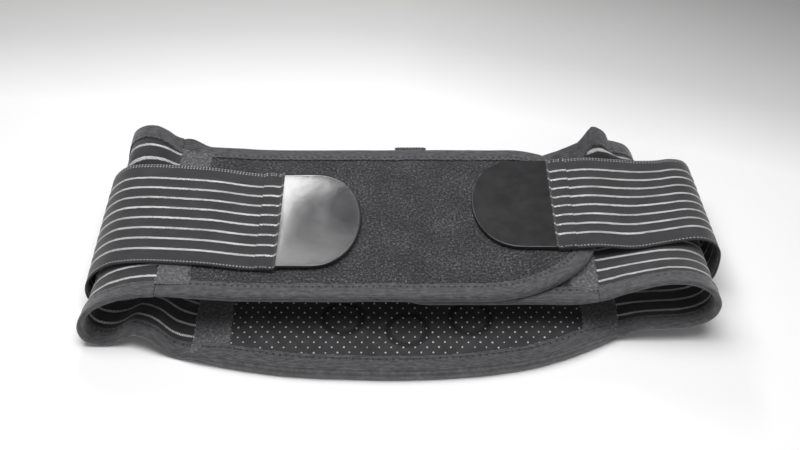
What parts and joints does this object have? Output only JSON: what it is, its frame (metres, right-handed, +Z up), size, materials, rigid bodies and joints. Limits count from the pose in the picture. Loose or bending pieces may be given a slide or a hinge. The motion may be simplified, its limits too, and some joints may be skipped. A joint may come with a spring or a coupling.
{
  "type": "lumbar support belt",
  "caption": "Wrap-around elastic lumbar support belt, fastened and lying flat, with pull straps and moulded tabs over a hook-and-loop front panel.",
  "frame": {"origin": "middle of the belt's box in plan, on the surface it lies on", "axes": "+X along the belt's length across the body, +Y towards the belt's upper edge, +Z up, out of the front panel"},
  "size_m": [0.4294, 0.2204, 0.0641],
  "materials": {
    "elastic_webbing": "black elastic with woven silver stripes",
    "loop_pile": "brushed loop pile, matte",
    "lining": "smooth knit with small raised pale dots",
    "binding_tape": "ribbed woven tape",
    "seam_strip": "brushed tape",
    "foam": "open-cell foam",
    "hook_tape": "fine hooks",
    "tab_plastic": "moulded, glossy",
    "stay_steel": "spring steel",
    "magnet": "ground ferrite"
  },
  "bodies": {
    "back": {"back_shell": "elastic_webbing", "back_core": "foam", "back_lining": "lining", "back_binding_near": "binding_tape", "back_binding_far": "binding_tape", "back_seam_left": "seam_strip", "back_seam_right": "seam_strip", "hang_tab": "binding_tape", "stay_1": "stay_steel", "stay_2": "stay_steel", "stay_3": "stay_steel", "stay_4": "stay_steel", "stay_sleeve_1": "binding_tape", "stay_sleeve_2": "binding_tape", "stay_sleeve_3": "binding_tape", "stay_sleeve_4": "binding_tape", "magnet_1": "magnet", "magnet_2": "magnet", "magnet_3": "magnet", "magnet_4": "magnet", "magnet_5": "magnet", "magnet_6": "magnet", "magnet_7": "magnet", "magnet_8": "magnet", "magnet_9": "magnet", "wing_left": "elastic_webbing", "wing_left_binding_near": "binding_tape", "wing_left_binding_far": "binding_tape", "wing_right": "elastic_webbing", "wing_right_binding_near": "binding_tape", "wing_right_binding_far": "binding_tape", "strap_left_back": "elastic_webbing", "strap_right_back": "elastic_webbing", "strap_anchor": "elastic_webbing"},
    "left_front": {"front_seam_strip": "seam_strip", "front_hook_patch": "hook_tape", "front_pile": "loop_pile", "front_foam": "foam", "front_lining": "lining", "front_binding": "binding_tape", "strap_left_base": "elastic_webbing"},
    "left_strap": {"strap_left_front": "elastic_webbing", "strap_left_hem": "elastic_webbing"},
    "left_tab": {"tab_left": "tab_plastic", "hook_pad_left": "hook_tape"},
    "right_front": {"inner_seam_strip": "seam_strip", "inner_pile": "loop_pile", "inner_foam": "foam", "inner_lining": "lining", "inner_binding": "binding_tape"},
    "right_strap_base": {"strap_right_base": "elastic_webbing"},
    "right_strap": {"strap_right_front": "elastic_webbing", "strap_right_hem": "elastic_webbing"},
    "right_tab": {"tab_right": "tab_plastic", "hook_pad_right": "hook_tape"}
  },
  "joints": [
    {"name": "front_panel_open", "type": "hinge", "parent": "back", "child": "left_front", "pos_m": [-0.15946, -0.00538, 0.0519], "axis": [-0.001, -0.9994, -0.034], "range_deg": [0, 34]},
    {"name": "left_strap_peel", "type": "hinge", "parent": "left_front", "child": "left_strap", "pos_m": [-0.13136, -0.00538, 0.05049], "axis": [-0.0008, -0.9998, -0.0219], "range_deg": [0, 90]},
    {"name": "left_tab_peel", "type": "hinge", "parent": "left_strap", "child": "left_tab", "pos_m": [-0.0845, -0.00538, 0.0479], "axis": [0, -1, 0], "range_deg": [0, 45]},
    {"name": "inner_panel_lift", "type": "hinge", "parent": "back", "child": "right_front", "pos_m": [0.12722, -0.00038, 0.03818], "axis": [-0.005, 1, -0.0037], "range_deg": [0, 26]},
    {"name": "right_strap_swing", "type": "hinge", "parent": "back", "child": "right_strap_base", "pos_m": [0.2129, 0.01062, 0.02951], "axis": [-0.0399, 0.9976, -0.0561], "range_deg": [0, 140]},
    {"name": "right_strap_peel", "type": "hinge", "parent": "right_strap_base", "child": "right_strap", "pos_m": [0.15356, 0.01062, 0.0476], "axis": [0.002, 1, 0.0088], "range_deg": [0, 60]},
    {"name": "right_tab_peel", "type": "hinge", "parent": "right_strap", "child": "right_tab", "pos_m": [0.1045, 0.01012, 0.0479], "axis": [0, 1, 0], "range_deg": [0, 30]}
  ],
  "couplings": [
    {"joint": "inner_panel_lift", "follows": "front_panel_open", "ratio": 0.72},
    {"joint": "right_strap_swing", "follows": "front_panel_open", "ratio": 4}
  ]
}
